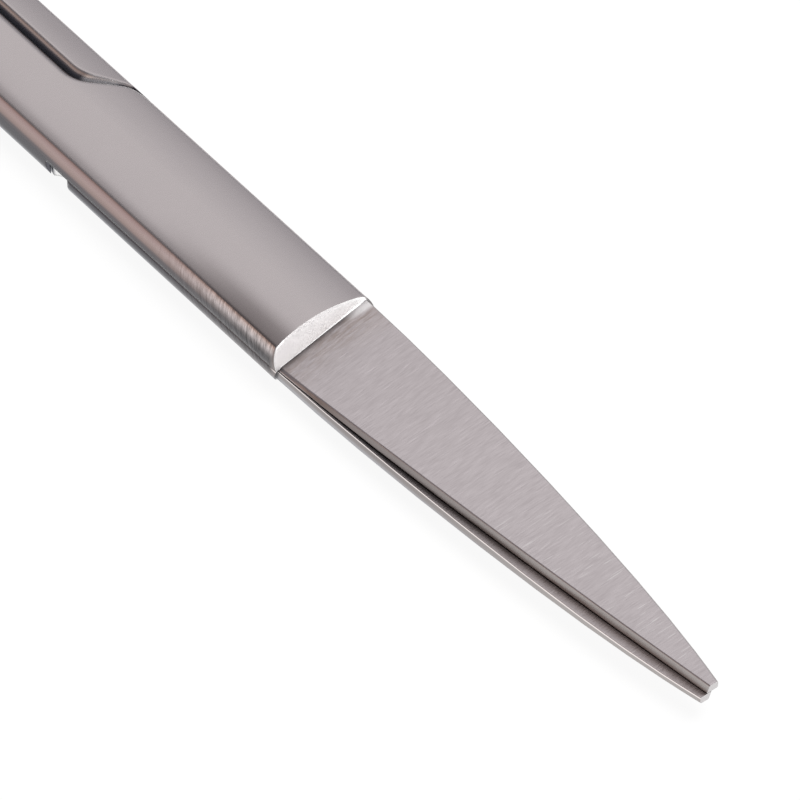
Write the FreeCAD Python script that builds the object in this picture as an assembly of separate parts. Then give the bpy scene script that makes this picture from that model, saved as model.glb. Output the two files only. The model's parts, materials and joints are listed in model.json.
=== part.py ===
import FreeCAD, Part
import math
import os
from FreeCAD import Vector

# Operating scissors with straight, sharp blades and a screwed lap joint.
# Two forged halves, each in one piece with its blade, shank and finger ring,
# turn on one slotted screw. All lengths are millimetres.
# While modelling, X runs from the pivot to the tip, Z is the pivot axis and the
# halves meet in the plane Z = 0. The upper half has its spine on the +Y side.

# Lengths along the scissors, from the pivot axis
blade_reach = 60.0
ring_reach = 85.0
step_reach = 17.0

# Joint and shoulder
joint_width = 9.2
joint_width_rear = 9.5
half_thickness = 2.3
side_land = 0.3
crown_radius = 14.0
step_lean = 22.0
parting_gap = 0.04

# Curved shoulder behind the pivot, where each half thickens to its shank
lap_start = 6.6
lap_turn = 10.7
lap_end = 13.8
lap_turn_inset = 0.72
lap_overhang = 1.2
lap_outer_radius = 2.2
lap_inner_radius = 3.0
lap_gap = 0.15
lap_edge_radius = 1.0
notch_reach = 8.5
notch_radius = 1.25

# Blade
tip_width = 0.98
tip_offset = 0.29
blade_base_width = 9.0
spine_bulge = 1.5
nose_drop = 0.87
nose_sharpness = 6
edge_bulge = 1.4
spine_thickness = 1.4
edge_thickness = 0.66
edge_dip = 0.54
edge_dip_reach = 0.24
tip_thickness = 0.64
edge_bevel = 0.2
edge_land = 0.1
spine_lean = 0.28
spine_break = 0.12
hollow_depth = 0.1
blade_stations = 8

# Shank and finger ring
shank_start = 28.0
neck_length = 12.2
shank_lead = 4.0
shank_width = 4.0
shank_offset = 5.4
shank_slope = 14.0
ring_length = 30.8
ring_width = 25.6
ring_end_radius = 12.0
ring_bar = 3.8
ring_offset = 16.4
ring_tilt = 9.0
ring_edge_radius = 1.6
web_radius = 6.0

# Pivot screw
screw_shoulder = 3.0
screw_thread = 2.5
screw_head = 4.6
head_thickness = 1.1
thread_length = 1.5
thread_depth = 1.65
pivot_clearance = 0.04
head_clearance = 0.08
thread_clearance = 0.03
thread_chamfer = 0.2
head_sink = 0.02
slot_width = 0.6
slot_depth = 0.5
slot_turn = 62.0

X_AXIS = Vector(1, 0, 0)
Z_AXIS = Vector(0, 0, 1)
ORIGIN = Vector(0, 0, 0)
half_gap = parting_gap / 2
shank_end = ring_reach - ring_length - neck_length
step_slope = math.tan(math.radians(step_lean))
crown_spare = 0.03
join_tolerance = 0.0005


def polygon_face(points):
    vectors = [Vector(x, y, 0) for x, y in points]
    return Part.Face(Part.makePolygon(vectors + vectors[:1]))


def straight(x0, y0, x1, y1):
    return Part.LineSegment(Vector(x0, y0, 0), Vector(x1, y1, 0)).toShape()


def rounded_path(points, radii):
    """Straight runs through points, each inner corner rounded by its radius."""
    corners = [Vector(x, y, 0) for x, y in points]
    edges = []
    start = corners[0]
    for corner, after, radius in zip(corners[1:-1], corners[2:], radii):
        before = (start - corner).normalize()
        onward = (after - corner).normalize()
        half_angle = before.getAngle(onward) / 2
        reach = radius / math.tan(half_angle)
        bisector = (before + onward).normalize()
        centre = corner + bisector * (radius / math.sin(half_angle))
        first = corner + before * reach
        last = corner + onward * reach
        middle = centre - bisector * radius
        edges.append(Part.LineSegment(start, first).toShape())
        edges.append(Part.Arc(first, middle, last).toShape())
        start = last
    edges.append(Part.LineSegment(start, corners[-1]).toShape())
    return edges


def turned_over(shape):
    """The same shape turned half a turn about the long axis."""
    copy = shape.copy()
    copy.rotate(ORIGIN, X_AXIS, 180)
    return copy


def joint_envelope(floor):
    """Outer form of the closed joint above a floor at the parting plane."""
    front = step_reach + 2 * half_thickness
    rear = -shank_start
    flat = polygon_face([
        (front, -joint_width / 2), (front, joint_width / 2),
        (rear, joint_width_rear / 2), (rear, -joint_width_rear / 2)])
    flat.translate(Vector(0, 0, floor))
    block = flat.extrude(Vector(0, 0, half_thickness + crown_spare - floor))
    sides = [e for e in block.Edges
             if e.BoundBox.ZMin > half_thickness and e.BoundBox.XLength > 1]
    block = block.makeFillet(half_thickness - side_land, sides)
    crown = Part.makeCylinder(
        crown_radius, front - rear + 2, Vector(rear - 1, 0, 0), X_AXIS)
    crown.rotate(ORIGIN, X_AXIS, 90)
    crown.translate(Vector(0, 0, half_thickness - crown_radius))
    return block.common(crown)


def lap_edge(shift):
    """Boundary of the upper layer behind the pivot, moved outwards by shift."""
    side = joint_width_rear / 2
    turn_y = side - lap_turn_inset
    first_slope = math.atan2(lap_turn_inset, lap_turn - lap_start)
    dive_slope = math.atan2(turn_y - lap_overhang, lap_end - lap_turn)
    turn_shift = shift * math.tan((first_slope + dive_slope) / 2)
    lead = 3 * lap_turn_inset
    lead_y = lead * math.tan(first_slope)
    return rounded_path(
        [(lead - lap_start, side + lead_y + shift),
         (-lap_turn - turn_shift, turn_y + shift),
         (-lap_end - shift * math.tan(dive_slope / 2), lap_overhang + shift),
         (-shank_start - 1, lap_overhang + shift)],
        [lap_outer_radius + shift, lap_inner_radius - shift])


def lap_slab(shift, corners, floor):
    """Slab above the parting plane between the lap edge and a border, edge broken."""
    path = lap_edge(shift)
    ahead, beside = path[0].Vertexes[0].Point, path[-1].Vertexes[-1].Point
    stops = [(ahead.x, ahead.y)] + corners + [(beside.x, beside.y)]
    border = [straight(*a, *b) for a, b in zip(stops, stops[1:])]
    face = Part.Face(Part.Wire(Part.__sortEdges__(path + border)))
    face.translate(Vector(0, 0, floor))
    top = half_thickness + crown_spare
    slab = face.extrude(Vector(0, 0, top - floor))
    wire = Part.Wire(Part.__sortEdges__(path))
    wire.translate(Vector(0, 0, top))
    rim = [e for e in slab.Edges if on_path(e, wire)]
    return slab.makeFillet(lap_edge_radius, rim)


def on_path(edge, path):
    middle = edge.valueAt((edge.FirstParameter + edge.LastParameter) / 2)
    return Part.Vertex(middle).distToShape(path)[0] < 0.01


def joint_body():
    """Upper half's own layer of the joint."""
    front = step_reach + 2 * half_thickness
    corners = [(front, joint_width), (front, -joint_width), (-shank_start - 1, -joint_width)]
    return joint_envelope(half_gap).common(lap_slab(0, corners, half_gap))


def shank_shoulder():
    """The lower half's full-thickness shank where it rises beside the joint."""
    front = -lap_start + 3 * lap_turn_inset
    corners = [(front, joint_width), (-shank_start - 1, joint_width)]
    return joint_envelope(-half_gap).common(lap_slab(lap_gap, corners, -half_gap))


def shank_line(x):
    """Height of the shank's middle line in plan, beside the long axis."""
    return -shank_offset + (x + shank_end) * math.tan(math.radians(shank_slope))


def ring_centre():
    """Middle of the ring, placed so that the ring ends at its stated reach."""
    run = ring_length / 2 - ring_end_radius
    behind = run * math.cos(math.radians(ring_tilt)) + ring_end_radius
    return Vector(behind - ring_reach, -ring_offset, 0)


def oval_face(inset):
    """Oval of four tangent arcs about the ring's middle, drawn in by inset."""
    length, width = ring_length / 2, ring_width / 2
    run = length - ring_end_radius
    side_radius = (run ** 2 + width ** 2 - ring_end_radius ** 2) / (2 * (width - ring_end_radius))
    rise = side_radius - width
    turn = math.atan2(rise, run)
    end, side = ring_end_radius - inset, side_radius - inset
    join_x, join_y = run + end * math.cos(turn), end * math.sin(turn)
    top = side - rise
    corners = [(join_x, join_y), (0, top), (-join_x, join_y), (-run - end, 0),
               (-join_x, -join_y), (0, -top), (join_x, -join_y), (run + end, 0)]
    points = [Vector(x, y, 0) for x, y in corners]
    ends = points[::2]
    arcs = [Part.Arc(a, m, b).toShape()
            for a, m, b in zip(ends, points[1::2], ends[1:] + ends[:1])]
    face = Part.Face(Part.Wire(arcs))
    face.rotate(ORIGIN, Z_AXIS, ring_tilt)
    face.translate(ring_centre())
    return face


def handle():
    """Rear shank and finger ring of the upper half, full thickness."""
    half = shank_width / 2
    far = ring_centre().x
    band = polygon_face([
        (-shank_end, shank_line(-shank_end) + half), (far, shank_line(far) + half),
        (far, shank_line(far) - half), (-shank_end, shank_line(-shank_end) - half)])
    outline = band.fuse(oval_face(0)).removeSplitter().cut(oval_face(ring_bar))
    outline.translate(Vector(0, 0, -half_thickness))
    solid = outline.extrude(Vector(0, 0, 2 * half_thickness))
    solid = solid.Solids[0]
    upright = [e for e in solid.Edges
               if e.BoundBox.ZLength > half_thickness and e.BoundBox.XMax < -shank_end - 1
               and e.BoundBox.XMax > far + ring_bar and len(e.Vertexes) == 2]
    corners = [e for e in upright if is_corner(e, band)]
    solid = solid.makeFillet(web_radius, corners)
    rims = [e for e in solid.Edges
            if e.BoundBox.ZLength < 0.01 and e.BoundBox.XMin < -shank_end - 0.01]
    return solid.makeFillet(ring_edge_radius, rims)


def is_corner(edge, band):
    point = edge.Vertexes[0].Point
    flat = Part.Vertex(point.x, point.y, 0)
    return flat.distToShape(band)[0] < 0.01


def cut_off(solid, x):
    """Outline of a solid where the plane at x crosses it."""
    return solid.slice(X_AXIS, x)[0]


def shank_span(joint_piece, handle_piece):
    """Middle of the shank, drawn smoothly between the joint and the handle."""
    sections = [cut_off(joint_piece, -shank_start + shank_lead),
                cut_off(joint_piece, -shank_start + 0.001),
                cut_off(handle_piece, -shank_end - 0.001),
                cut_off(handle_piece, -shank_end - shank_lead)]
    whole = Part.makeLoft(sections, True, False)
    length = shank_end - shank_start
    box = Part.makeBox(length, 8 * joint_width, 4 * half_thickness,
                       Vector(-shank_end, -4 * joint_width, -2 * half_thickness))
    return whole.common(box)


def above(solid, floor):
    box = solid.BoundBox
    block = Part.makeBox(box.XLength + 2, box.YLength + 2, half_thickness + 1,
                         Vector(box.XMin - 1, box.YMin - 1, floor))
    return solid.common(block)


def blade_section(share):
    """Outline across the blade at a share of its length from root to tip."""
    root = step_reach - 2
    x = root + share * (blade_reach - root)
    base = blade_base_width / 2
    spine_tip = tip_width / 2 + tip_offset
    edge_tip = tip_width / 2 - tip_offset
    spine_drop = base - spine_tip - nose_drop
    spine = base - spine_drop * share ** spine_bulge - nose_drop * share ** nose_sharpness
    edge = base - (base - edge_tip) * share ** edge_bulge
    ease = (1 + math.cos(math.pi * share)) / 2
    spine_top = tip_thickness + (spine_thickness - tip_thickness) * ease
    edge_top = edge_thickness - edge_dip * math.exp(-(share / edge_dip_reach) ** 2)
    lean = spine_lean * (1 - share) ** 3
    hollow = hollow_depth * (spine + edge) / blade_base_width
    near, far = Vector(x, -edge, half_gap), Vector(x, spine, half_gap)
    middle = Vector(x, (spine - edge) / 2, half_gap + hollow)
    corners = [far, Vector(x, spine - lean, spine_top - spine_break),
               Vector(x, spine - lean - spine_break, spine_top),
               Vector(x, -edge + edge_bevel + edge_land, edge_top),
               Vector(x, -edge + edge_bevel, edge_top - edge_land / 2), near]
    edges = [Part.Arc(near, middle, far).toShape()]
    edges += [Part.LineSegment(a, b).toShape() for a, b in zip(corners, corners[1:])]
    return Part.Wire(edges)


def blade():
    count = blade_stations
    sections = [blade_section(i / (count - 1)) for i in range(count)]
    return Part.makeLoft(sections, True, False)


def shoulder_cutter():
    """Wedge that grinds the bright step in front of the joint."""
    top = half_thickness + 1
    low = half_gap - 0.01
    front = step_reach + 4 * half_thickness
    x_top = step_reach - step_slope * (top - half_thickness)
    x_low = step_reach + step_slope * (half_thickness - low)
    corners = [(x_top, top), (x_low, low), (front, low), (front, top)]
    vectors = [Vector(x, -joint_width, z) for x, z in corners]
    face = Part.Face(Part.makePolygon(vectors + vectors[:1]))
    return face.extrude(Vector(0, 2 * joint_width, 0))


def forged_half():
    """Upper half before the pivot hole is drilled."""
    joint = joint_body()
    shoulder = shank_shoulder()
    rear = handle()
    other = turned_over(rear)
    span_above = shank_span(joint, above(rear, half_gap))
    span_below = turned_over(shank_span(shoulder, above(other, -half_gap)))
    joint = joint.cut(shoulder_cutter())
    pieces = [turned_over(shoulder), span_above, span_below, rear, blade()]
    return joint.fuse(pieces, join_tolerance).removeSplitter()


def post(radius, low, high):
    return Part.makeCylinder(radius, high - low, Vector(0, 0, low), Z_AXIS)


def relief_notch():
    """Scallop in the lower layer's side, over the line where the halves part."""
    notch = post(notch_radius, -half_thickness - 1, half_gap)
    notch.translate(Vector(-notch_reach, -joint_width_rear / 2, 0))
    return notch


def upper_half(forging):
    """Half that holds the screw's thread in a blind hole."""
    hole = post(screw_thread / 2 + thread_clearance, -half_gap, half_gap + thread_depth)
    return forging.cut(hole.fuse(relief_notch()))


def lower_half(forging):
    """Half that turns on the screw's shoulder, with a sunk seat for its head."""
    bore = post(screw_shoulder / 2 + pivot_clearance, -half_thickness - 1, half_gap)
    seat_floor = -half_thickness + head_sink + head_thickness + head_clearance
    seat = post(screw_head / 2 + head_clearance, -half_thickness - 1, seat_floor)
    return turned_over(forging).cut(bore.fuse([seat, relief_notch()]))


def pivot_screw():
    """Slotted shoulder screw, its domed head in the underside."""
    low = -half_thickness + head_sink
    seat = low + head_thickness
    head = post(screw_head / 2, low, seat)
    dome = Part.makeSphere(crown_radius, Vector(0, 0, low + crown_radius))
    head = head.common(dome)
    slot = Part.makeBox(screw_head + 2, slot_width, slot_depth,
                        Vector(-screw_head / 2 - 1, -slot_width / 2, low))
    slot.rotate(ORIGIN, Z_AXIS, slot_turn)
    shoulder = post(screw_shoulder / 2, seat, half_gap)
    thread = post(screw_thread / 2, half_gap, half_gap + thread_length)
    rim = [e for e in thread.Edges
           if e.BoundBox.ZMin > half_gap + thread_length - 0.01 and e.BoundBox.ZLength < 0.01]
    thread = thread.makeChamfer(thread_chamfer, rim)
    return head.cut(slot).fuse([shoulder, thread]).removeSplitter()


def main():
    forging = forged_half()
    nodes = {
        "upper_half": upper_half(forging),
        "lower_half": lower_half(forging),
        "pivot_screw": pivot_screw(),
    }
    os.makedirs("parts", exist_ok=True)
    # The finished part stands on Z = 0 with its middle on the Z axis.
    to_frame = Vector((ring_reach - blade_reach) / 2, 0, half_thickness)
    for name, shape in nodes.items():
        shape = shape.copy()
        shape.translate(to_frame)
        shape.exportStep("parts/" + name + ".step")
        print(name, "solids", len(shape.Solids), "volume", round(shape.Volume, 2))


main()
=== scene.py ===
# %% [markdown]
# # Medical scissors under soft studio light
# The scissors are two forged halves and one screw. Their shapes come in as a fixed frame, because a
# ground steel blade is all measured planes. What this lesson adds is the look: the direction of every
# grinding line, the satin of the joint, the bright step, and a light that lets steel be seen.

# %% Load the three fixed pieces
import bpy
import json
import math
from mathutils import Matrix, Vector


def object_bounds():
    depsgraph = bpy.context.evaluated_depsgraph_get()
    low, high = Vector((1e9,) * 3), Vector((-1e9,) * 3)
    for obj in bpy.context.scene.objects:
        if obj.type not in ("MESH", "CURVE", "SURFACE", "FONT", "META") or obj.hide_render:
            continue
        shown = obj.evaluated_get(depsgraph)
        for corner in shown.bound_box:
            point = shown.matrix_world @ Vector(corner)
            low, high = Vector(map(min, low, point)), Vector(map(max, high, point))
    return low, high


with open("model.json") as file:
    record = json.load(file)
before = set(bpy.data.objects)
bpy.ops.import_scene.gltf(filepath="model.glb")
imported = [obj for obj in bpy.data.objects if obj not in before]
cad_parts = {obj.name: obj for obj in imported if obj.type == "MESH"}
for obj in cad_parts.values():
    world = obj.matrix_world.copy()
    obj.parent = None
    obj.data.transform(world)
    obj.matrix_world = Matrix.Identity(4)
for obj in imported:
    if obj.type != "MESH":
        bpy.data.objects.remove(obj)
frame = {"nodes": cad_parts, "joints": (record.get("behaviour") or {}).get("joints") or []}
cad_low, cad_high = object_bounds()
MM = 0.001
print("pieces:", sorted(frame["nodes"]))
print("length, width, height in mm:", [round(side / MM, 2) for side in cad_high - cad_low])

# %% [markdown]
# ## Where things are
# Every finish on these scissors starts or stops at a place along the blade, so the places are written
# once here, in millimetres from the pivot. The pivot itself is read from the frame's one joint.

# %% Places along the scissors
pivot = Vector(frame["joints"][0]["pos_m"])
STEP_FROM_PIVOT = 17.0
STEP_RUN = 0.8
step_x = pivot.x + STEP_FROM_PIVOT * MM
blade_x = step_x + STEP_RUN * MM
print("pivot at", [round(value / MM, 2) for value in pivot], "mm")
print("blade face starts at", round(blade_x / MM, 2), "mm")

# %% [markdown]
# ## The camera
# The photograph looks down on the blade from the near side with a long lens, so the tips come towards
# the lower right corner and the joint runs out of the upper left one. A camera could be placed by eye,
# but a tilt, a turn and a distance are easier to correct one at a time, so they are named values here.

# %% Camera from a tilt, a turn and a distance
IMAGE_SIZE = 800
CAMERA_TILT = math.radians(47.0)
CAMERA_TURN = math.radians(51.1)
CAMERA_ROLL = 0.00235
CAMERA_DISTANCE = 0.400
PIXELS_PER_MM = 14.0
AIM_FROM_PIVOT = (25.6, 0.63, 0.0)

aim = pivot + Vector(AIM_FROM_PIVOT) * MM
towards_camera = Vector((
    math.sin(CAMERA_TURN) * math.cos(CAMERA_TILT),
    -math.cos(CAMERA_TURN) * math.cos(CAMERA_TILT),
    math.sin(CAMERA_TILT)))

camera_data = bpy.data.cameras.new("camera")
camera = bpy.data.objects.new("camera", camera_data)
bpy.context.scene.collection.objects.link(camera)
camera.location = aim + towards_camera * CAMERA_DISTANCE
camera.rotation_euler = towards_camera.to_track_quat("Z", "Y").to_euler()
camera.rotation_euler.rotate_axis("Z", CAMERA_ROLL)
camera_data.sensor_width = 36.0
camera_data.lens = PIXELS_PER_MM / MM * CAMERA_DISTANCE * camera_data.sensor_width / IMAGE_SIZE
camera_data.clip_start = 0.01
camera_data.clip_end = 20.0
bpy.context.scene.camera = camera
print("lens", round(camera_data.lens, 1), "mm")

# %% [markdown]
# ## A small helper for shader nodes
# A node tree is a list of nodes and links. Written out in full it hides what a material does, so short
# helpers add a node with its values, do one sum, make a soft switch, lay one colour over another, and
# start a group with named sockets.

# %% Helpers that add a node and fill its sockets
def feed(tree, socket, value):
    """Link a socket to another node's output, or give it a plain value."""
    if isinstance(value, bpy.types.NodeSocket):
        tree.links.new(value, socket)
    else:
        socket.default_value = value


def add(tree, kind, inputs=None, **settings):
    """Add a node, set its options, and feed its inputs by name or number."""
    node = tree.nodes.new(kind)
    for name, value in settings.items():
        setattr(node, name, value)
    for name, value in (inputs or {}).items():
        feed(tree, node.inputs[name], value)
    return node


def maths(tree, operation, *values):
    """A number worked out from one, two or three others."""
    node = add(tree, "ShaderNodeMath", dict(enumerate(values)), operation=operation)
    return node.outputs[0]


def between(tree, value, low, high):
    """A soft switch: 0 below low, 1 above high."""
    node = add(tree, "ShaderNodeMapRange", {"Value": value, "From Min": low, "From Max": high},
               interpolation_type="SMOOTHSTEP")
    return node.outputs["Result"]


def blend_colour(tree, amount, first, second, mode="MIX"):
    """One colour laid over another by an amount."""
    node = add(tree, "ShaderNodeMix", data_type="RGBA", blend_type=mode)
    feed(tree, node.inputs["Factor"], amount)
    feed(tree, node.inputs[6], first)
    feed(tree, node.inputs[7], second)
    return node.outputs[2]


def new_group(name, inputs, outputs):
    """An empty shader group with named sockets. Returns its tree, its inputs and its outputs."""
    tree = bpy.data.node_groups.new(name, "ShaderNodeTree")
    for label, value in inputs.items():
        kind = "NodeSocketVector" if isinstance(value, tuple) else "NodeSocketFloat"
        socket = tree.interface.new_socket(label, in_out="INPUT", socket_type=kind)
        socket.default_value = value
    for label, kind in outputs.items():
        tree.interface.new_socket(label, in_out="OUTPUT", socket_type=kind)
    start = tree.nodes.new("NodeGroupInput")
    end = tree.nodes.new("NodeGroupOutput")
    return tree, start.outputs, end.inputs


print("helpers ready")

# %% [markdown]
# ## Grinding lines
# A blade is ground across its width on a belt, and each grain of grit leaves one fine, straight line.
# The lines could be cut into the mesh, but they are a few hundredths of a millimetre apart. A noise
# that is squeezed along the blade and drawn out across it gives the same lines at any distance. It is
# a group, because the blade, the joint and the rings are all ground, each with its own spacing.

# %% Group: grinding lines
def make_grinding_lines():
    tree, given, out = new_group(
        "grinding lines",
        {"Turn": (0.0, 0.0, 0.0), "Spacing": (1.0, 1.0, 1.0), "Detail": 3.0, "Contrast": 1.0},
        {"Lines": "NodeSocketFloat"})
    place = add(tree, "ShaderNodeTexCoord").outputs["Object"]
    turned = add(tree, "ShaderNodeMapping", {"Vector": place, "Rotation": given["Turn"]})
    squeezed = add(tree, "ShaderNodeVectorMath", {0: turned.outputs[0], 1: given["Spacing"]},
                   operation="MULTIPLY")
    noise = add(tree, "ShaderNodeTexNoise", {
        "Vector": squeezed.outputs[0], "Scale": 1.0, "Detail": given["Detail"], "Roughness": 0.65})
    centred = maths(tree, "SUBTRACT", noise.outputs["Fac"], 0.5)
    stretched = maths(tree, "MULTIPLY", centred, given["Contrast"])
    feed(tree, out["Lines"], maths(tree, "ADD", stretched, 0.5))
    return tree


grinding_lines = make_grinding_lines()
print("group made:", grinding_lines.name)

# %% [markdown]
# ## Single scratches
# Here and there a loose grain has drawn a longer, brighter scratch. A noise with its peaks cut off
# leaves a few thin marks and nothing between them, which is what a scratch is.

# %% Group: single scratches
def make_scratches():
    tree, given, out = new_group(
        "single scratches",
        {"Turn": (0.0, 0.0, 0.0), "Spacing": (1.0, 1.0, 1.0), "Rarity": 0.7},
        {"Scratch": "NodeSocketFloat"})
    place = add(tree, "ShaderNodeTexCoord").outputs["Object"]
    turned = add(tree, "ShaderNodeMapping", {"Vector": place, "Rotation": given["Turn"]})
    squeezed = add(tree, "ShaderNodeVectorMath", {0: turned.outputs[0], 1: given["Spacing"]},
                   operation="MULTIPLY")
    noise = add(tree, "ShaderNodeTexNoise", {
        "Vector": squeezed.outputs[0], "Scale": 1.0, "Detail": 1.0, "Roughness": 0.5})
    full = maths(tree, "ADD", given["Rarity"], 0.06)
    feed(tree, out["Scratch"], between(tree, noise.outputs["Fac"], given["Rarity"], full))
    return tree


scratches = make_scratches()
print("group made:", scratches.name)

# %% [markdown]
# ## What a point knows about itself
# One half is one forging, but its flats, its step and its rolled sides are finished by different
# wheels. They could be split into separate meshes; reading the place and the facing of each point
# keeps the forging whole. Both are read in the half's own frame, so the finish turns with the blade.

# %% Place and facing of a point
def read_point(tree):
    """Where a point lies on its half and which way it faces, both in the half's own frame."""
    coordinates = add(tree, "ShaderNodeTexCoord")
    place = add(tree, "ShaderNodeSeparateXYZ", {0: coordinates.outputs["Object"]}).outputs
    facing = add(tree, "ShaderNodeSeparateXYZ", {0: coordinates.outputs["Normal"]}).outputs
    return {
        "along": place["X"], "aside": place["Y"], "height": place["Z"],
        "ahead": facing["X"], "outward": facing["Y"], "up": facing["Z"],
        "upright": maths(tree, "ABSOLUTE", facing["Z"]),
        "below": maths(tree, "SUBTRACT", pivot.z, place["Z"]),
        "from_axis": maths(tree, "ABSOLUTE", place["Y"])}


def all_of(tree, *masks):
    """Where every one of the masks holds."""
    result = masks[0]
    for mask in masks[1:]:
        result = maths(tree, "MULTIPLY", result, mask)
    return result


print("a point can be read")

# %% [markdown]
# ## Masks along the blade
# The blade is ground after the joint is shaped, so it starts in a sharp line at the step. Its root keeps
# brown streaks from the heat of the wheel, its tip is worn brighter, and its end is cut off square. A
# mask with hard limits would show as a drawn line, so each is a soft switch along one measure. Its pair
# of values says where the mask is 0 and where it is 1.

# %% Masks of the blade and of the step
ROOT = (blade_x + 3.5 * MM, blade_x)
WEAR = (blade_x + 8 * MM, blade_x + 34 * MM)
SQUARE_END = (pivot.x + 57 * MM, pivot.x + 58 * MM)
FACING_AHEAD = (0.5, 0.75)
STEP_LEAN = (0.3, 0.5)
STEP_NEARBY = (blade_x + 6 * MM, blade_x + 4 * MM)
STEP_FAR_CORNER = (3.9 * MM, 4.4 * MM)
STEP_LOW_CORNER = (-4.0 * MM, -4.3 * MM)
# The flash is a painted reflection of the bright step: a light patch on the flat just in front of its far
# half.
FLASH_ALONG = (blade_x + 0.5 * MM, blade_x + 0.1 * MM)
FLASH_ASIDE = (1.5 * MM, 3.6 * MM)
LEVEL = (0.9, 0.97)
LOWER_BLADE = (-0.03 * MM, 0.0)
# Below this depth the blade's sides take their paler painted reflection.
BACK_DEPTH = (pivot.z - 0.45 * MM, pivot.z - 1.2 * MM)


def blade_masks(tree, point):
    along, aside, below, ahead = (point[name] for name in ("along", "aside", "below", "ahead"))
    blade = between(tree, along, step_x, blade_x)

    step = all_of(tree, between(tree, ahead, *STEP_LEAN), between(tree, along, *STEP_NEARBY))
    low_corner = all_of(tree, between(tree, below, 0.0, 0.1 * MM), between(tree, aside, *STEP_LOW_CORNER))
    corners = maths(tree, "MAXIMUM", low_corner, between(tree, aside, *STEP_FAR_CORNER))
    step = maths(tree, "MAXIMUM", maths(tree, "SUBTRACT", step, corners), 0.0)

    flash = all_of(tree, between(tree, along, *FLASH_ALONG), between(tree, aside, *FLASH_ASIDE), blade,
                   between(tree, point["up"], *LEVEL))
    # The ridge mask carries a painted highlight along the lower blade's top edge.
    ridge = all_of(tree, between(tree, below, 0.0, 0.02 * MM), between(tree, below, 0.20 * MM, 0.10 * MM),
                   between(tree, ahead, 0.5, 0.3))
    return {
        "Blade": blade, "Step": step, "Flash": flash, "Ridge": ridge,
        "Root": between(tree, along, *ROOT),
        "Tip": between(tree, along, *WEAR),
        "End": all_of(tree, between(tree, along, *SQUARE_END), between(tree, ahead, *FACING_AHEAD)),
        "Lower": between(tree, below, *LOWER_BLADE),
        "Depth": between(tree, point["height"], *BACK_DEPTH)}


print("blade masks written")

# %% [markdown]
# ## Masks round the joint
# The joint is crowned on top and rolled at its sides. The curved lap edge crosses the top behind the
# pivot, and a groove opens there between the two halves. The sides of the joint carry painted reflections
# and shade that the shanks don't, so their mask fades out behind the joint.

# %% Masks of the joint
JOINT_ALONG = (pivot.x - 36 * MM, pivot.x - 20 * MM)
FRONT_ALONG = (pivot.x, step_x - 2 * MM)
SIDE_EDGE = (3.0 * MM, 4.0 * MM)
CURVE_ALONG = (pivot.x - 9.6 * MM, pivot.x - 10.4 * MM)
CURVE_ASIDE = (-0.4 * MM, 0.6 * MM)
WALL_ALONG = (step_x - 4 * MM, step_x - 6 * MM)
WALL_ASIDE = (3.6 * MM, 3.2 * MM)
GROOVE_DEPTH = (-2.0 * MM, -1.3 * MM)
FLAT_FACING = (0.9, 0.985)
SIDE_FACING = (0.85, 0.66)
NEAR_FACING = (0.0, -0.06)
SHOULDER_FACING = (-0.12, -0.30)
ACROSS_FACING = (0.2, 0.6)


def joint_masks(tree, point):
    along, from_axis, outward = point["along"], point["from_axis"], point["outward"]
    flat = between(tree, point["upright"], *FLAT_FACING)
    curve = all_of(tree, between(tree, along, *CURVE_ALONG), between(tree, point["aside"], *CURVE_ASIDE))
    wall = all_of(tree, between(tree, from_axis, *WALL_ASIDE), between(tree, along, *WALL_ALONG))
    return {
        "Joint": between(tree, along, *JOINT_ALONG),
        "Front": between(tree, along, *FRONT_ALONG),
        "Flat": flat,
        "Side": between(tree, point["upright"], *SIDE_FACING),
        "Near": all_of(tree, between(tree, outward, *NEAR_FACING), flat),
        "Shoulder": between(tree, outward, *SHOULDER_FACING),
        "Edge": maths(tree, "MAXIMUM", between(tree, from_axis, *SIDE_EDGE), curve),
        "Wall": wall,
        "Across": between(tree, point["ahead"], *ACROSS_FACING),
        "Groove": all_of(tree, wall, between(tree, point["below"], *GROOVE_DEPTH))}


print("joint masks written")

# %% [markdown]
# ## One group for all the masks
# The colour, the roughness and the rounding all ask the same question, so the masks leave one group. The
# place and facing go out with them, because the side colours run along both.

# %% Group: zones of a half
ZONES = (
    "Blade", "Step", "Root", "Tip", "End", "Flash", "Lower", "Depth", "Ridge", "Joint", "Front", "Flat",
    "Side", "Near", "Shoulder", "Edge", "Wall", "Across", "Groove", "Facing", "Height")


def make_zones():
    tree, _, out = new_group("zones of a half", {}, {name: "NodeSocketFloat" for name in ZONES})
    point = read_point(tree)
    masks = {**blade_masks(tree, point), **joint_masks(tree, point)}
    masks["Facing"] = point["up"]
    masks["Height"] = point["height"]
    for name in ZONES:
        feed(tree, out[name], masks[name])
    return tree


zones = make_zones()
print("group made:", zones.name, "with", len(ZONES), "masks")

# %% [markdown]
# ## Shade in the creases
# Where two halves meet, light has to bounce several times to get out, and each bounce off steel costs
# a third of it. A picture made with few bounces leaves these places too bright, so the group measures
# how closed in each point is, and the steel's colour is darkened there as painted shade.

# %% Group: creases
def make_creases():
    tree, given, out = new_group(
        "creases", {"Reach": 1.2 * MM, "Full": 0.4}, {"Crease": "NodeSocketFloat"})
    around = add(tree, "ShaderNodeAmbientOcclusion", {"Distance": given["Reach"]}, samples=16)
    feed(tree, out["Crease"], between(tree, around.outputs["AO"], 0.95, given["Full"]))
    return tree


creases = make_creases()
print("group made:", creases.name)

# %% [markdown]
# ## Small helpers for materials
# Every material here starts from one Principled shader at full metallic, and calls the groups with its
# own values. A ramp holds a colour that changes over several stops.

# %% Helpers for a material
def new_material(name):
    """A material with only its output node and a Principled shader."""
    material = bpy.data.materials.new(name)
    material.use_nodes = True
    tree = material.node_tree
    tree.nodes.clear()
    shader = add(tree, "ShaderNodeBsdfPrincipled", {"Metallic": 1.0})
    output = add(tree, "ShaderNodeOutputMaterial")
    tree.links.new(shader.outputs[0], output.inputs["Surface"])
    return material, tree, shader


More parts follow.
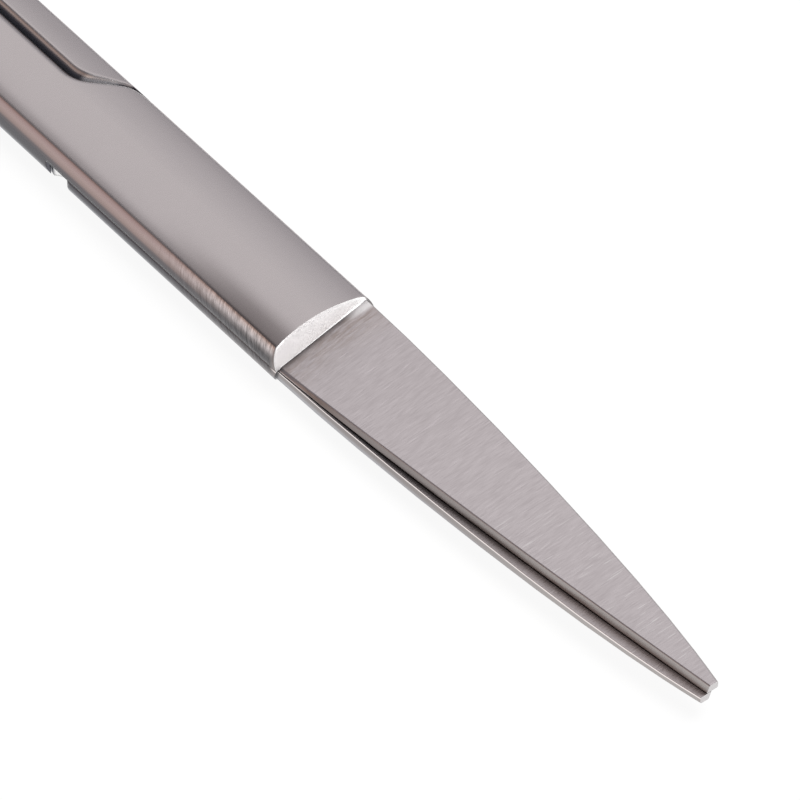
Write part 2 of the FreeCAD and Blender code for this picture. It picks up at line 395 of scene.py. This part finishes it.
def use(tree, group, **inputs):
    """Place a shared group in a material with its own values."""
    node = add(tree, "ShaderNodeGroup", node_tree=group)
    for name, value in inputs.items():
        feed(tree, node.inputs[name], value)
    return node.outputs


def mix_value(tree, amount, first, second):
    """A number between two others."""
    return add(tree, "ShaderNodeMix", {0: amount, 2: first, 3: second}).outputs[0]


def ramp(tree, amount, stops):
    """A colour that changes through several stops, each a place from 0 to 1 and a colour."""
    node = add(tree, "ShaderNodeValToRGB", {0: amount})
    elements = node.color_ramp.elements
    for number, (place, colour) in enumerate(stops):
        stop = elements[number] if number < 2 else elements.new(place)
        stop.position = place
        stop.color = (*colour, 1.0)
    return node.outputs["Color"]


print("material helpers ready")

# %% [markdown]
# ## Painted reflections of the rolled sides
# The rolled sides are painted warm brown above and near black at the middle, and paler again towards the
# underside: painted reflections and shade. Over a white sheet a mirror would show white there, so the
# steel's own colour follows the facing of the surface instead. The walls of the groove are painted from
# plain steel at the top edge to a dark blue grey at the bottom, a painted shade. Along the blade the
# sides are painted darker above and paler below, with a painted highlight along the lower blade's top
# edge.
# Nearer the step the grinding wheel has crossed the side in short streaks.

# %% Side colours
SIDE_REFLECTION_REAR = (
    (0.00, (0.24, 0.24, 0.29)), (0.20, (0.17, 0.175, 0.22)), (0.42, (0.07, 0.068, 0.078)),
    (0.50, (0.08, 0.076, 0.085)), (0.58, (0.14, 0.122, 0.128)), (0.66, (0.31, 0.235, 0.22)),
    (0.76, (0.40, 0.305, 0.29)), (0.86, (0.46, 0.36, 0.36)), (0.95, (0.44, 0.44, 0.47)))
SIDE_REFLECTION_FRONT = (
    (0.00, (0.30, 0.27, 0.27)), (0.25, (0.25, 0.215, 0.215)), (0.45, (0.14, 0.13, 0.135)),
    (0.55, (0.11, 0.105, 0.11)), (0.62, (0.12, 0.112, 0.115)), (0.70, (0.24, 0.22, 0.22)),
    (0.78, (0.50, 0.45, 0.45)), (0.87, (0.70, 0.63, 0.62)), (0.96, (0.36, 0.30, 0.28)))
GROOVE_WALL_SHADE = (
    (0.00, (0.10, 0.10, 0.12)), (0.30, (0.24, 0.215, 0.22)), (0.55, (0.50, 0.45, 0.44)),
    (0.85, (0.62, 0.575, 0.57)))
WALL_ACROSS_SHADE = (0.09, 0.09, 0.12, 1.0)
WALL_FOOT = pivot.z + 1.0 * MM
WALL_TOP = pivot.z + 2.2 * MM
BLADE_SIDE_HIGH = (0.27, 0.24, 0.235, 1.0)
BLADE_SIDE_TIP = (0.42, 0.39, 0.38, 1.0)
BLADE_SIDE_LOW = (0.46, 0.455, 0.48, 1.0)
RIDGE_HIGHLIGHT = (0.95, 0.88, 0.86, 1.0)


def painted_side_reflection(tree, zone, streak):
    """Painted reflection of the rolled sides: warm above, dark at the middle, paler towards the
    underside.
    """
    level = add(tree, "ShaderNodeMapRange", {
        "Value": zone["Facing"], "From Min": -0.8, "From Max": 0.8}).outputs[0]
    shade = mix_value(tree, streak, 0.55, 1.35)
    front = blend_colour(tree, 1.0, ramp(tree, level, SIDE_REFLECTION_FRONT), shade, "MULTIPLY")
    joint = blend_colour(tree, zone["Front"], ramp(tree, level, SIDE_REFLECTION_REAR), front)

    # Painted shade on the groove walls: darker towards the foot, and dark blue grey where a wall faces
    # across.
    up_wall = add(tree, "ShaderNodeMapRange", {
        "Value": zone["Height"], "From Min": WALL_FOOT, "From Max": WALL_TOP}).outputs[0]
    across = maths(tree, "MULTIPLY", zone["Across"], 0.85)
    wall = blend_colour(tree, across, ramp(tree, up_wall, GROOVE_WALL_SHADE), WALL_ACROSS_SHADE)
    joint = blend_colour(tree, zone["Wall"], joint, wall)

    # Painted reflection on the blade's sides: dark high up, lighter towards the tips, paler below the
    # back depth.
    high = blend_colour(tree, zone["Tip"], BLADE_SIDE_HIGH, BLADE_SIDE_TIP)
    blade = blend_colour(tree, zone["Depth"], high, BLADE_SIDE_LOW)
    # Painted highlight along the lower blade's top edge.
    blade = blend_colour(tree, zone["Ridge"], blade, RIDGE_HIGHLIGHT)
    return blend_colour(tree, zone["Blade"], joint, blade)


print("side colours written")

# %% [markdown]
# ## Lines and marks of the halves
# The blade's flat was ground twice at slightly different angles, which leaves two sets of lines that
# cross. The joint was only brushed, so its lines are faint. The rolled sides and the step stay smooth:
# a value of one half there means neither raised nor sunk. Spacing is the number of lines in a metre,
# along, across and up.

# %% Lines of the two halves
FIRST_GRINDING = {
    "Turn": (0.0, 0.0, 0.02), "Spacing": (11000.0, 700.0, 700.0), "Detail": 3.0, "Contrast": 3.4}
SECOND_GRINDING = {
    "Turn": (0.0, 0.0, -0.16), "Spacing": (8000.0, 500.0, 500.0), "Detail": 2.0, "Contrast": 2.6}
BRUSHING = {"Spacing": (9000.0, 1500.0, 1500.0), "Detail": 3.0, "Contrast": 0.4}
WHEEL_STREAKS = {
    "Turn": (0.0, 0.35, 0.0), "Spacing": (5600.0, 700.0, 900.0), "Detail": 4.0, "Contrast": 3.4}
CLOUDS = {"Spacing": (240.0, 420.0, 420.0), "Detail": 3.0, "Contrast": 1.6}
LOOSE_GRAINS = {"Spacing": (9000.0, 420.0, 420.0), "Rarity": 0.68}
SMOOTH = 0.5


def half_lines(tree, zone):
    """The relief that roughness and bump share, and the streaks, clouds and scratches for colour."""
    first = use(tree, grinding_lines, **FIRST_GRINDING)["Lines"]
    second = use(tree, grinding_lines, **SECOND_GRINDING)["Lines"]
    brushed = use(tree, grinding_lines, **BRUSHING)["Lines"]
    on_flat = all_of(tree, zone["Blade"], zone["Flat"])
    relief = mix_value(tree, on_flat, brushed, mix_value(tree, 0.4, first, second))
    relief = mix_value(tree, zone["Side"], relief, SMOOTH)
    relief = mix_value(tree, zone["Step"], relief, SMOOTH)
    return {
        "relief": relief,
        "on_flat": on_flat,
        "streak": use(tree, grinding_lines, **WHEEL_STREAKS)["Lines"],
        "cloud": use(tree, grinding_lines, **CLOUDS)["Lines"],
        "mark": use(tree, scratches, **LOOSE_GRAINS)["Scratch"]}


print("lines of the halves written")

# %% [markdown]
# ## Painted shade in the creases of a half
# The crease group needs to know how far to look. In the joint's groove it looks two millimetres round
# itself; beside the upper blade, on the strip of the lower one, a little less, so that the painted dark
# stays close to the gap. The full values say how much open sky is left where the painted shade is
# darkest. Near the tips the painted shade is lighter and browner.

# %% Painted crease shade of the two halves
CREASE_SHADE_JOINT = (0.15, 0.152, 0.175, 1.0)
CREASE_SHADE_EDGE = (0.06, 0.055, 0.058, 1.0)
CREASE_SHADE_TIP = (0.29, 0.245, 0.235, 1.0)
FULL_ON_FLATS, FULL_ON_SIDES, FULL_IN_JOINT, FULL_ON_STRIP = 0.62, 0.45, 0.45, 0.84
UPPER_REACH, LOWER_REACH, JOINT_REACH = 1.0 * MM, 1.8 * MM, 2.2 * MM


def half_crease_shade(tree, zone):
    """How much painted crease shade a point gets, and the colour of that shade there."""
    full = mix_value(tree, zone["Side"], FULL_ON_FLATS, FULL_ON_SIDES)
    full = mix_value(tree, zone["Blade"], FULL_IN_JOINT, full)
    strip = all_of(tree, zone["Lower"], zone["Flat"], zone["Blade"])
    full = mix_value(tree, strip, full, FULL_ON_STRIP)
    reach = mix_value(tree, zone["Lower"], UPPER_REACH, LOWER_REACH)
    reach = mix_value(tree, zone["Blade"], JOINT_REACH, reach)
    # Painted shade: the colour darkens where the crease group finds a point closed in.
    amount = use(tree, creases, Full=full, Reach=reach)["Crease"]
    colour = blend_colour(tree, zone["Tip"], CREASE_SHADE_EDGE, CREASE_SHADE_TIP)
    return amount, blend_colour(tree, zone["Blade"], CREASE_SHADE_JOINT, colour)


print("oil of the halves written")

# %% [markdown]
# ## Colour of the steel
# The colour is laid on in layers, each over the last: plain steel, its grinding lines, the clouds that
# polishing leaves, the brown root, the scratches, the painted shade of the near shoulder, the painted
# reflections and shade of the sides, the painted shade in the creases, and last the step's painted
# highlight with its painted reflection on the flat, and the tips' ends, which stay bright. One long
# formula would give the same colour, but a list of layers can be read and reordered.

# %% Steel colours of the two halves
STEEL = (0.64, 0.60, 0.61, 1.0)
STEEL_JOINT = (0.585, 0.55, 0.55, 1.0)
STEEL_DARK = (0.42, 0.385, 0.39, 1.0)
STEEL_BRIGHT = (0.86, 0.85, 0.84, 1.0)
STEEL_END = (0.64, 0.62, 0.62, 1.0)
STEEL_BROWN = (0.36, 0.29, 0.25, 1.0)
STEP_HIGHLIGHT_WHITE = (0.97, 0.965, 0.96, 1.0)
SHOULDER_SHADE = (0.14, 0.115, 0.11, 1.0)


def half_colour(tree, zone, lines, crease_shade, crease_shade_colour):
    plain = blend_colour(tree, zone["Blade"], STEEL_JOINT, STEEL)
    root = all_of(tree, zone["Root"], lines["on_flat"], lines["streak"])
    scratch = all_of(tree, lines["mark"], lines["on_flat"], zone["Tip"])
    # Painted shade on the near-facing shoulder of the joint in front of the pivot.
    shoulder = mix_value(tree, zone["Blade"], all_of(tree, zone["Shoulder"], zone["Front"], 0.75), 0.0)
    layers = (
        (all_of(tree, lines["relief"], 0.5), STEEL_DARK),
        (all_of(tree, lines["cloud"], 0.3), plain),
        (all_of(tree, root, 0.7), STEEL_BROWN),
        (all_of(tree, scratch, 0.6), STEEL_BRIGHT),
        (shoulder, SHOULDER_SHADE),
        # Painted reflections and shade of the rolled sides.
        (all_of(tree, zone["Side"], zone["Joint"]), painted_side_reflection(tree, zone, lines["streak"])),
        # Painted shade in the creases.
        (crease_shade, crease_shade_colour),
        # Painted highlight: the step is coloured near white on top of its real lamp reflection; the flash
        # patch is painted too.
        (maths(tree, "MAXIMUM", zone["Step"], zone["Flash"]), STEP_HIGHLIGHT_WHITE),
        (zone["End"], STEEL_END))
    colour = plain
    for amount, layer in layers:
        colour = blend_colour(tree, amount, colour, layer)
    return colour


print("steel colours written")

# %% [markdown]
# ## Rounded edges
# Real edges are never perfectly sharp. A Bevel node bends the light at each of them, so the lines of
# light along the blade appear without any change to the mesh. On the crown it would only add grain, so
# there the surface keeps its own normal. Behind the pivot the near half of the crown is laid a little
# flatter, as the real one is polished down there.

# %% Normal of the two halves
JOINT_EDGE = 0.42 * MM
BLADE_EDGE = 0.09 * MM
LINE_DEPTH = 0.010 * MM
WORN_FLAT = 0.45


def half_normal(tree, zone, relief):
    """The rounded normal at edges, the plain one elsewhere, and the grinding lines on both."""
    radius = mix_value(tree, zone["Blade"], JOINT_EDGE, BLADE_EDGE)
    rounded = add(tree, "ShaderNodeBevel", {"Radius": radius}, samples=16)

    flatter = all_of(tree, mix_value(tree, zone["Front"], WORN_FLAT, 0.0), zone["Near"])
    own = add(tree, "ShaderNodeTexCoord").outputs["Normal"]
    scale = add(tree, "ShaderNodeCombineXYZ", {0: 1.0, 1: maths(tree, "SUBTRACT", 1.0, flatter), 2: 1.0})
    own = add(tree, "ShaderNodeVectorMath", {0: own, 1: scale.outputs[0]}, operation="MULTIPLY")
    own = add(tree, "ShaderNodeVectorTransform", {0: own.outputs[0]}, vector_type="NORMAL",
              convert_from="OBJECT", convert_to="WORLD")

    near_edge = all_of(tree, maths(tree, "MAXIMUM", zone["Edge"], zone["Blade"]), zone["Joint"])
    normal = add(tree, "ShaderNodeMix", data_type="VECTOR")
    feed(tree, normal.inputs["Factor"], near_edge)
    feed(tree, normal.inputs[4], own.outputs[0])
    feed(tree, normal.inputs[5], rounded.outputs[0])
    bump = add(tree, "ShaderNodeBump", {
        "Height": relief, "Distance": LINE_DEPTH, "Strength": 1.0, "Normal": normal.outputs[1]})
    return bump.outputs[0]


print("edges written")

# %% [markdown]
# ## Satin steel
# The halves are stainless steel, warm grey and never mirror bright. The Principled shader at full
# metallic does steel well, once its roughness is broken by the grinding lines. Only in the groove, where
# the painted crease shade lies, is the steel made partly non-metal, so that the painted dark takes soft
# light.

# %% Material: satin steel of the two halves
JOINT_ROUGHNESS = 0.27
BLADE_ROUGHNESS = 0.32
LINE_ROUGHNESS = 0.12
GROOVE_NONMETAL = 0.75


def make_satin_steel():
    material, tree, shader = new_material("satin_steel")
    zone = use(tree, zones)
    lines = half_lines(tree, zone)
    crease_shade, crease_shade_colour = half_crease_shade(tree, zone)
    feed(tree, shader.inputs["Base Color"], half_colour(tree, zone, lines, crease_shade, crease_shade_colour))

    # Where the groove's painted shade lies, the steel is made partly non-metal so it takes a little soft
    # light.
    groove_nonmetal = all_of(tree, crease_shade, zone["Groove"], GROOVE_NONMETAL)
    feed(tree, shader.inputs["Metallic"], maths(tree, "SUBTRACT", 1.0, groove_nonmetal))

    rough = mix_value(tree, zone["Blade"], JOINT_ROUGHNESS, BLADE_ROUGHNESS)
    change = all_of(tree, maths(tree, "SUBTRACT", lines["relief"], SMOOTH), LINE_ROUGHNESS)
    feed(tree, shader.inputs["Roughness"], maths(tree, "ADD", rough, change))
    feed(tree, shader.inputs["Normal"], half_normal(tree, zone, lines["relief"]))
    return material


satin_steel = make_satin_steel()
print("material made:", satin_steel.name)

# %% [markdown]
# ## Turned steel of the screw
# A screw head is turned on a lathe, so its lines run round the axis and not across it. The distance
# from the pivot's axis gives rings, and a little noise keeps them from being perfect.

# %% Material: turned steel of the screw
SCREW_EDGE = 0.1 * MM
RING_DEPTH = 0.008 * MM
RINGS_PER_METRE = 9000.0


def make_turned_steel():
    material, tree, shader = new_material("turned_steel")
    place = add(tree, "ShaderNodeTexCoord").outputs["Object"]
    from_axis = add(tree, "ShaderNodeVectorMath", {0: place, 1: tuple(pivot)}, operation="SUBTRACT")
    flat = add(tree, "ShaderNodeVectorMath", {0: from_axis.outputs[0], 1: (1.0, 1.0, 0.0)},
               operation="MULTIPLY")
    radius = add(tree, "ShaderNodeVectorMath", {0: flat.outputs[0]}, operation="LENGTH")
    rings = add(tree, "ShaderNodeTexNoise", {
        "W": radius.outputs["Value"], "Scale": RINGS_PER_METRE, "Detail": 2.0}, noise_dimensions="1D")
    colour = blend_colour(tree, maths(tree, "MULTIPLY", rings.outputs["Fac"], 0.5), STEEL, STEEL_DARK)
    feed(tree, shader.inputs["Base Color"], colour)
    rough = add(tree, "ShaderNodeMapRange", {
        "Value": rings.outputs["Fac"], "To Min": 0.2, "To Max": 0.34}).outputs[0]
    feed(tree, shader.inputs["Roughness"], rough)
    rounded = add(tree, "ShaderNodeBevel", {"Radius": SCREW_EDGE}, samples=6)
    bump = add(tree, "ShaderNodeBump", {
        "Height": rings.outputs["Fac"], "Distance": RING_DEPTH, "Strength": 1.0,
        "Normal": rounded.outputs[0]})
    feed(tree, shader.inputs["Normal"], bump.outputs[0])
    return material


turned_steel = make_turned_steel()
print("material made:", turned_steel.name)

# %% [markdown]
# ## Dress the pieces
# The frame's pieces keep their meshes. Only the material slots are filled.

# %% Give each piece its steel
FINISHES = {
    "upper_half": (satin_steel, "satin_steel"),
    "lower_half": (satin_steel, "satin_steel"),
    "pivot_screw": (turned_steel, "screw_steel"),
}
for name, (material, slot) in FINISHES.items():
    piece = frame["nodes"][name]
    piece.data.materials.clear()
    piece.data.materials.append(material)
    print(name, "wears", material.name, "on", len(piece.data.polygons), "faces")

# %% [markdown]
# ## The floor
# The scissors lie on a plain white sheet. A lit white surface is never quite white in a picture, so
# the floor glows a little for the camera and for reflections, and the rest of it stays ordinary matt
# white that takes the soft shadow.

# %% Matt white floor
FLOOR_SIZE = 6.0
FLOOR_GAP = 0.02 * MM
FLOOR_GLOW = 0.92


def make_floor():
    material, tree, shader = new_material("white_sheet")
    tree.nodes.remove(shader)
    matt = add(tree, "ShaderNodeBsdfDiffuse", {"Color": (0.9, 0.9, 0.9, 1.0)})
    glow = add(tree, "ShaderNodeEmission", {"Color": (1.0, 1.0, 1.0, 1.0), "Strength": 1.0})
    ray = add(tree, "ShaderNodeLightPath").outputs
    seen = maths(tree, "MAXIMUM", ray["Is Camera Ray"], ray["Is Glossy Ray"])
    seen = maths(tree, "MAXIMUM", seen, ray["Is Transmission Ray"])
    mix = add(tree, "ShaderNodeMixShader", {
        0: maths(tree, "MULTIPLY", seen, FLOOR_GLOW), 1: matt.outputs[0], 2: glow.outputs[0]})
    tree.links.new(mix.outputs[0], tree.nodes["Material Output"].inputs["Surface"])
    mesh = bpy.data.meshes.new("floor")
    half = FLOOR_SIZE / 2
    level = cad_low.z - FLOOR_GAP
    mesh.from_pydata(
        [(-half, -half, level), (half, -half, level), (half, half, level), (-half, half, level)],
        [], [(0, 1, 2, 3)])
    floor = bpy.data.objects.new("floor", mesh)
    bpy.context.scene.collection.objects.link(floor)
    mesh.materials.append(material)
    return floor


floor = make_floor()
print("floor at", round(floor.data.vertices[0].co.z / MM, 3), "mm")

# %% [markdown]
# ## The light
# Steel shows what stands round it more than what shines on it, so the room is built as bands: an angle
# counted from the far horizon, over the scissors, to the near one, with a grey for each part of the
# way. A plain grey world would leave the curved joint flat. The bright band is the one that the level
# flats mirror, and the dark band next to it is what the near side of the joint rolls into. In front of
# the tips the bands give way to one grey wall under a dark ceiling.

# %% World: a room in bands
# Each band is an angle, in degrees, from the far horizon up over the scissors and down to the near one.
BANDS = (
    (0, (0.30, 0.305, 0.34)), (18, (0.46, 0.45, 0.47)), (30, (0.60, 0.58, 0.60)),
    (44, (0.78, 0.76, 0.775)), (60, (0.90, 0.875, 0.88)), (80, (0.88, 0.85, 0.86)),
    (94, (0.30, 0.28, 0.29)), (106, (0.19, 0.18, 0.185)), (124, (0.18, 0.17, 0.185)),
    (140, (0.55, 0.40, 0.33)), (160, (0.70, 0.60, 0.56)), (180, (0.90, 0.86, 0.84)))
FRONT_WALL = (0.52, 0.50, 0.50, 1.0)
FRONT_CEILING = (0.12, 0.12, 0.14, 1.0)
FRONT_SIDE = (0.15, 0.6)
WALL_TO_CEILING = (0.25, 0.65)


def make_room():
    world = bpy.data.worlds.new("room")
    world.use_nodes = True
    bpy.context.scene.world = world
    tree = world.node_tree
    tree.nodes.clear()
    direction = add(tree, "ShaderNodeTexCoord").outputs["Generated"]
    axes = add(tree, "ShaderNodeSeparateXYZ", {0: direction}).outputs
    angle = maths(tree, "DIVIDE", maths(tree, "ARCTAN2", axes["Z"], axes["Y"]), math.pi)
    bands = ramp(tree, angle, [(degrees / 180, colour) for degrees, colour in BANDS])
    front = between(tree, axes["X"], *FRONT_SIDE)
    wall = blend_colour(tree, between(tree, axes["Z"], *WALL_TO_CEILING), FRONT_WALL, FRONT_CEILING)
    colour = blend_colour(tree, front, bands, wall)
    background = add(tree, "ShaderNodeBackground", {"Color": colour, "Strength": 1.0})
    output = add(tree, "ShaderNodeOutputWorld")
    tree.links.new(background.outputs[0], output.inputs["Surface"])
    return world


room = make_room()
print("room ready, bands:", len(BANDS))


# %% [markdown]
# ## Two lamps
# The ground step faces the tips, so a low lamp in front of them is mirrored in it and it flashes white.
# The second lamp hangs over the white sheet and only lights matt surfaces, which keeps the sheet white
# and the soft shadow under the scissors without putting a lamp's shape on the steel.

# %% A low lamp for the step and a high one for the sheet
def soft_lamp(name, towards, distance, size, radiance):
    """A rectangular soft lamp that faces the aim point, set by how bright its face looks."""
    data = bpy.data.lights.new(name, "AREA")
    data.shape = "RECTANGLE"
    data.size, data.size_y = size
    data.energy = radiance * math.pi * size[0] * size[1]
    lamp = bpy.data.objects.new(name, data)
    direction = Vector(towards).normalized()
    lamp.location = aim + direction * distance
    lamp.rotation_euler = direction.to_track_quat("Z", "Y").to_euler()
    bpy.context.scene.collection.objects.link(lamp)
    print(name, "power", round(data.energy, 2), "W")
    return lamp


step_lamp = soft_lamp(
    "step_lamp", towards=(0.866, 0.42, 0.24), distance=0.6, size=(0.45, 0.20), radiance=2.0)
sheet_lamp = soft_lamp(
    "sheet_lamp", towards=(0.1, 0.3, 1.0), distance=1.2, size=(0.8, 0.8), radiance=8.0)
sheet_lamp.visible_glossy = False

# %% [markdown]
# ## Picture settings
# The colours are shown as they are written, with the Standard view.

# %% View
bpy.context.scene.view_settings.view_transform = "Standard"
